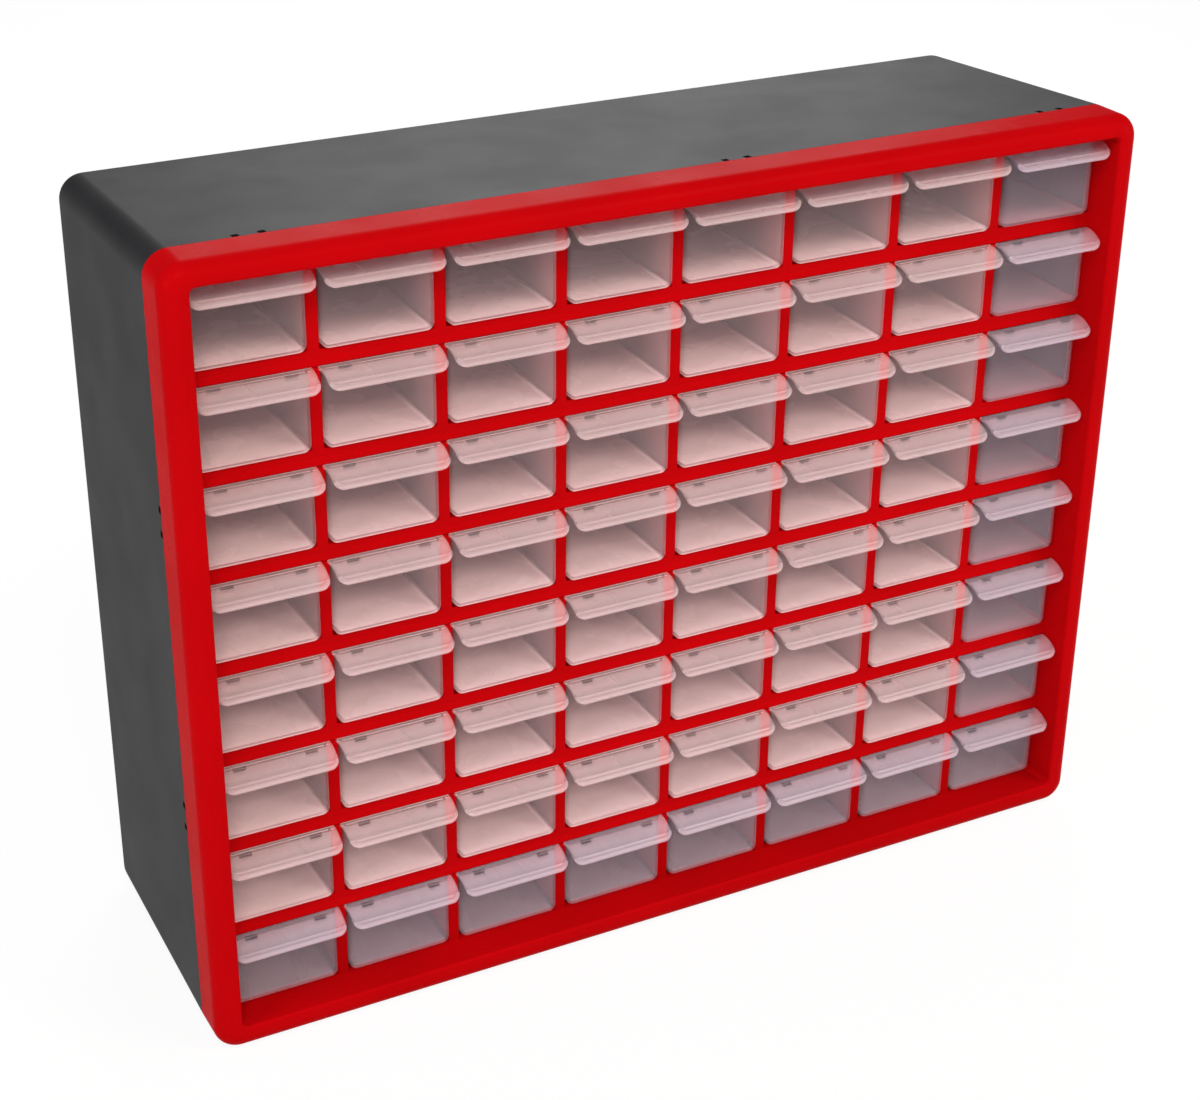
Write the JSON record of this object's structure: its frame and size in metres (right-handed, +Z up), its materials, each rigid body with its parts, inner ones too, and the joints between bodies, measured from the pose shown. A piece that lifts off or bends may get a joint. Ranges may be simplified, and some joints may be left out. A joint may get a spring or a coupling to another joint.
{
  "type": "parts bin cabinet",
  "caption": "small-parts cabinet with a black case, a red front grid and clear sliding drawers with full-width pulls",
  "frame": {"origin": "middle of the base, halfway through the depth", "axes": "X to the right of someone who faces the drawers, Y from the front to the back, Z up"},
  "size_m": [0.508, 0.168, 0.402],
  "materials": {
    "case_plastic": "satin moulded black plastic with a faint grain",
    "frame_plastic": "semi-gloss moulded red plastic",
    "drawer_plastic": "translucent natural plastic, slightly cloudy"
  },
  "bodies": {
    "cabinet": {"case": "case_plastic", "front_frame": "frame_plastic", "drawer_grid": "frame_plastic"},
    "drawer_r1_c1": {"drawer_r1_c1": "drawer_plastic"},
    "drawer_r1_c2": {"drawer_r1_c2": "drawer_plastic"},
    "drawer_r1_c3": {"drawer_r1_c3": "drawer_plastic"},
    "drawer_r1_c4": {"drawer_r1_c4": "drawer_plastic"},
    "drawer_r1_c5": {"drawer_r1_c5": "drawer_plastic"},
    "drawer_r1_c6": {"drawer_r1_c6": "drawer_plastic"},
    "drawer_r1_c7": {"drawer_r1_c7": "drawer_plastic"},
    "drawer_r1_c8": {"drawer_r1_c8": "drawer_plastic"},
    "drawer_r2_c1": {"drawer_r2_c1": "drawer_plastic"},
    "drawer_r2_c2": {"drawer_r2_c2": "drawer_plastic"},
    "drawer_r2_c3": {"drawer_r2_c3": "drawer_plastic"},
    "drawer_r2_c4": {"drawer_r2_c4": "drawer_plastic"},
    "drawer_r2_c5": {"drawer_r2_c5": "drawer_plastic"},
    "drawer_r2_c6": {"drawer_r2_c6": "drawer_plastic"},
    "drawer_r2_c7": {"drawer_r2_c7": "drawer_plastic"},
    "drawer_r2_c8": {"drawer_r2_c8": "drawer_plastic"},
    "drawer_r3_c1": {"drawer_r3_c1": "drawer_plastic"},
    "drawer_r3_c2": {"drawer_r3_c2": "drawer_plastic"},
    "drawer_r3_c3": {"drawer_r3_c3": "drawer_plastic"},
    "drawer_r3_c4": {"drawer_r3_c4": "drawer_plastic"},
    "drawer_r3_c5": {"drawer_r3_c5": "drawer_plastic"},
    "drawer_r3_c6": {"drawer_r3_c6": "drawer_plastic"},
    "drawer_r3_c7": {"drawer_r3_c7": "drawer_plastic"},
    "drawer_r3_c8": {"drawer_r3_c8": "drawer_plastic"},
    "drawer_r4_c1": {"drawer_r4_c1": "drawer_plastic"},
    "drawer_r4_c2": {"drawer_r4_c2": "drawer_plastic"},
    "drawer_r4_c3": {"drawer_r4_c3": "drawer_plastic"},
    "drawer_r4_c4": {"drawer_r4_c4": "drawer_plastic"},
    "drawer_r4_c5": {"drawer_r4_c5": "drawer_plastic"},
    "drawer_r4_c6": {"drawer_r4_c6": "drawer_plastic"},
    "drawer_r4_c7": {"drawer_r4_c7": "drawer_plastic"},
    "drawer_r4_c8": {"drawer_r4_c8": "drawer_plastic"},
    "drawer_r5_c1": {"drawer_r5_c1": "drawer_plastic"},
    "drawer_r5_c2": {"drawer_r5_c2": "drawer_plastic"},
    "drawer_r5_c3": {"drawer_r5_c3": "drawer_plastic"},
    "drawer_r5_c4": {"drawer_r5_c4": "drawer_plastic"},
    "drawer_r5_c5": {"drawer_r5_c5": "drawer_plastic"},
    "drawer_r5_c6": {"drawer_r5_c6": "drawer_plastic"},
    "drawer_r5_c7": {"drawer_r5_c7": "drawer_plastic"},
    "drawer_r5_c8": {"drawer_r5_c8": "drawer_plastic"},
    "drawer_r6_c1": {"drawer_r6_c1": "drawer_plastic"},
    "drawer_r6_c2": {"drawer_r6_c2": "drawer_plastic"},
    "drawer_r6_c3": {"drawer_r6_c3": "drawer_plastic"},
    "drawer_r6_c4": {"drawer_r6_c4": "drawer_plastic"},
    "drawer_r6_c5": {"drawer_r6_c5": "drawer_plastic"},
    "drawer_r6_c6": {"drawer_r6_c6": "drawer_plastic"},
    "drawer_r6_c7": {"drawer_r6_c7": "drawer_plastic"},
    "drawer_r6_c8": {"drawer_r6_c8": "drawer_plastic"},
    "drawer_r7_c1": {"drawer_r7_c1": "drawer_plastic"},
    "drawer_r7_c2": {"drawer_r7_c2": "drawer_plastic"},
    "drawer_r7_c3": {"drawer_r7_c3": "drawer_plastic"},
    "drawer_r7_c4": {"drawer_r7_c4": "drawer_plastic"},
    "drawer_r7_c5": {"drawer_r7_c5": "drawer_plastic"},
    "drawer_r7_c6": {"drawer_r7_c6": "drawer_plastic"},
    "drawer_r7_c7": {"drawer_r7_c7": "drawer_plastic"},
    "drawer_r7_c8": {"drawer_r7_c8": "drawer_plastic"},
    "drawers_row_8": {"drawers_row_8": "drawer_plastic"}
  },
  "joints": [
    {"name": "slide_r1_c1", "type": "slide", "parent": "cabinet", "child": "drawer_r1_c1", "axis": [0, -1, 0], "range_m": [0, 0.1163]},
    {"name": "slide_r1_c2", "type": "slide", "parent": "cabinet", "child": "drawer_r1_c2", "axis": [0, -1, 0], "range_m": [0, 0.1163]},
    {"name": "slide_r1_c3", "type": "slide", "parent": "cabinet", "child": "drawer_r1_c3", "axis": [0, -1, 0], "range_m": [0, 0.1163]},
    {"name": "slide_r1_c4", "type": "slide", "parent": "cabinet", "child": "drawer_r1_c4", "axis": [0, -1, 0], "range_m": [0, 0.1163]},
    {"name": "slide_r1_c5", "type": "slide", "parent": "cabinet", "child": "drawer_r1_c5", "axis": [0, -1, 0], "range_m": [0, 0.1163]},
    {"name": "slide_r1_c6", "type": "slide", "parent": "cabinet", "child": "drawer_r1_c6", "axis": [0, -1, 0], "range_m": [0, 0.1163]},
    {"name": "slide_r1_c7", "type": "slide", "parent": "cabinet", "child": "drawer_r1_c7", "axis": [0, -1, 0], "range_m": [0, 0.1163]},
    {"name": "slide_r1_c8", "type": "slide", "parent": "cabinet", "child": "drawer_r1_c8", "axis": [0, -1, 0], "range_m": [0, 0.1163]},
    {"name": "slide_r2_c1", "type": "slide", "parent": "cabinet", "child": "drawer_r2_c1", "axis": [0, -1, 0], "range_m": [0, 0.1163]},
    {"name": "slide_r2_c2", "type": "slide", "parent": "cabinet", "child": "drawer_r2_c2", "axis": [0, -1, 0], "range_m": [0, 0.1163]},
    {"name": "slide_r2_c3", "type": "slide", "parent": "cabinet", "child": "drawer_r2_c3", "axis": [0, -1, 0], "range_m": [0, 0.1163]},
    {"name": "slide_r2_c4", "type": "slide", "parent": "cabinet", "child": "drawer_r2_c4", "axis": [0, -1, 0], "range_m": [0, 0.1163]},
    {"name": "slide_r2_c5", "type": "slide", "parent": "cabinet", "child": "drawer_r2_c5", "axis": [0, -1, 0], "range_m": [0, 0.1163]},
    {"name": "slide_r2_c6", "type": "slide", "parent": "cabinet", "child": "drawer_r2_c6", "axis": [0, -1, 0], "range_m": [0, 0.1163]},
    {"name": "slide_r2_c7", "type": "slide", "parent": "cabinet", "child": "drawer_r2_c7", "axis": [0, -1, 0], "range_m": [0, 0.1163]},
    {"name": "slide_r2_c8", "type": "slide", "parent": "cabinet", "child": "drawer_r2_c8", "axis": [0, -1, 0], "range_m": [0, 0.1163]},
    {"name": "slide_r3_c1", "type": "slide", "parent": "cabinet", "child": "drawer_r3_c1", "axis": [0, -1, 0], "range_m": [0, 0.1163]},
    {"name": "slide_r3_c2", "type": "slide", "parent": "cabinet", "child": "drawer_r3_c2", "axis": [0, -1, 0], "range_m": [0, 0.1163]},
    {"name": "slide_r3_c3", "type": "slide", "parent": "cabinet", "child": "drawer_r3_c3", "axis": [0, -1, 0], "range_m": [0, 0.1163]},
    {"name": "slide_r3_c4", "type": "slide", "parent": "cabinet", "child": "drawer_r3_c4", "axis": [0, -1, 0], "range_m": [0, 0.1163]},
    {"name": "slide_r3_c5", "type": "slide", "parent": "cabinet", "child": "drawer_r3_c5", "axis": [0, -1, 0], "range_m": [0, 0.1163]},
    {"name": "slide_r3_c6", "type": "slide", "parent": "cabinet", "child": "drawer_r3_c6", "axis": [0, -1, 0], "range_m": [0, 0.1163]},
    {"name": "slide_r3_c7", "type": "slide", "parent": "cabinet", "child": "drawer_r3_c7", "axis": [0, -1, 0], "range_m": [0, 0.1163]},
    {"name": "slide_r3_c8", "type": "slide", "parent": "cabinet", "child": "drawer_r3_c8", "axis": [0, -1, 0], "range_m": [0, 0.1163]},
    {"name": "slide_r4_c1", "type": "slide", "parent": "cabinet", "child": "drawer_r4_c1", "axis": [0, -1, 0], "range_m": [0, 0.1163]},
    {"name": "slide_r4_c2", "type": "slide", "parent": "cabinet", "child": "drawer_r4_c2", "axis": [0, -1, 0], "range_m": [0, 0.1163]},
    {"name": "slide_r4_c3", "type": "slide", "parent": "cabinet", "child": "drawer_r4_c3", "axis": [0, -1, 0], "range_m": [0, 0.1163]},
    {"name": "slide_r4_c4", "type": "slide", "parent": "cabinet", "child": "drawer_r4_c4", "axis": [0, -1, 0], "range_m": [0, 0.1163]},
    {"name": "slide_r4_c5", "type": "slide", "parent": "cabinet", "child": "drawer_r4_c5", "axis": [0, -1, 0], "range_m": [0, 0.1163]},
    {"name": "slide_r4_c6", "type": "slide", "parent": "cabinet", "child": "drawer_r4_c6", "axis": [0, -1, 0], "range_m": [0, 0.1163]},
    {"name": "slide_r4_c7", "type": "slide", "parent": "cabinet", "child": "drawer_r4_c7", "axis": [0, -1, 0], "range_m": [0, 0.1163]},
    {"name": "slide_r4_c8", "type": "slide", "parent": "cabinet", "child": "drawer_r4_c8", "axis": [0, -1, 0], "range_m": [0, 0.1163]},
    {"name": "slide_r5_c1", "type": "slide", "parent": "cabinet", "child": "drawer_r5_c1", "axis": [0, -1, 0], "range_m": [0, 0.1163]},
    {"name": "slide_r5_c2", "type": "slide", "parent": "cabinet", "child": "drawer_r5_c2", "axis": [0, -1, 0], "range_m": [0, 0.1163]},
    {"name": "slide_r5_c3", "type": "slide", "parent": "cabinet", "child": "drawer_r5_c3", "axis": [0, -1, 0], "range_m": [0, 0.1163]},
    {"name": "slide_r5_c4", "type": "slide", "parent": "cabinet", "child": "drawer_r5_c4", "axis": [0, -1, 0], "range_m": [0, 0.1163]},
    {"name": "slide_r5_c5", "type": "slide", "parent": "cabinet", "child": "drawer_r5_c5", "axis": [0, -1, 0], "range_m": [0, 0.1163]},
    {"name": "slide_r5_c6", "type": "slide", "parent": "cabinet", "child": "drawer_r5_c6", "axis": [0, -1, 0], "range_m": [0, 0.1163]},
    {"name": "slide_r5_c7", "type": "slide", "parent": "cabinet", "child": "drawer_r5_c7", "axis": [0, -1, 0], "range_m": [0, 0.1163]},
    {"name": "slide_r5_c8", "type": "slide", "parent": "cabinet", "child": "drawer_r5_c8", "axis": [0, -1, 0], "range_m": [0, 0.1163]},
    {"name": "slide_r6_c1", "type": "slide", "parent": "cabinet", "child": "drawer_r6_c1", "axis": [0, -1, 0], "range_m": [0, 0.1163]},
    {"name": "slide_r6_c2", "type": "slide", "parent": "cabinet", "child": "drawer_r6_c2", "axis": [0, -1, 0], "range_m": [0, 0.1163]},
    {"name": "slide_r6_c3", "type": "slide", "parent": "cabinet", "child": "drawer_r6_c3", "axis": [0, -1, 0], "range_m": [0, 0.1163]},
    {"name": "slide_r6_c4", "type": "slide", "parent": "cabinet", "child": "drawer_r6_c4", "axis": [0, -1, 0], "range_m": [0, 0.1163]},
    {"name": "slide_r6_c5", "type": "slide", "parent": "cabinet", "child": "drawer_r6_c5", "axis": [0, -1, 0], "range_m": [0, 0.1163]},
    {"name": "slide_r6_c6", "type": "slide", "parent": "cabinet", "child": "drawer_r6_c6", "axis": [0, -1, 0], "range_m": [0, 0.1163]},
    {"name": "slide_r6_c7", "type": "slide", "parent": "cabinet", "child": "drawer_r6_c7", "axis": [0, -1, 0], "range_m": [0, 0.1163]},
    {"name": "slide_r6_c8", "type": "slide", "parent": "cabinet", "child": "drawer_r6_c8", "axis": [0, -1, 0], "range_m": [0, 0.1163]},
    {"name": "slide_r7_c1", "type": "slide", "parent": "cabinet", "child": "drawer_r7_c1", "axis": [0, -1, 0], "range_m": [0, 0.1163]},
    {"name": "slide_r7_c2", "type": "slide", "parent": "cabinet", "child": "drawer_r7_c2", "axis": [0, -1, 0], "range_m": [0, 0.1163]},
    {"name": "slide_r7_c3", "type": "slide", "parent": "cabinet", "child": "drawer_r7_c3", "axis": [0, -1, 0], "range_m": [0, 0.1163]},
    {"name": "slide_r7_c4", "type": "slide", "parent": "cabinet", "child": "drawer_r7_c4", "axis": [0, -1, 0], "range_m": [0, 0.1163]},
    {"name": "slide_r7_c5", "type": "slide", "parent": "cabinet", "child": "drawer_r7_c5", "axis": [0, -1, 0], "range_m": [0, 0.1163]},
    {"name": "slide_r7_c6", "type": "slide", "parent": "cabinet", "child": "drawer_r7_c6", "axis": [0, -1, 0], "range_m": [0, 0.1163]},
    {"name": "slide_r7_c7", "type": "slide", "parent": "cabinet", "child": "drawer_r7_c7", "axis": [0, -1, 0], "range_m": [0, 0.1163]},
    {"name": "slide_r7_c8", "type": "slide", "parent": "cabinet", "child": "drawer_r7_c8", "axis": [0, -1, 0], "range_m": [0, 0.1163]},
    {"name": "slide_row_8", "type": "slide", "parent": "cabinet", "child": "drawers_row_8", "axis": [0, -1, 0], "range_m": [0, 0.1163]}
  ]
}
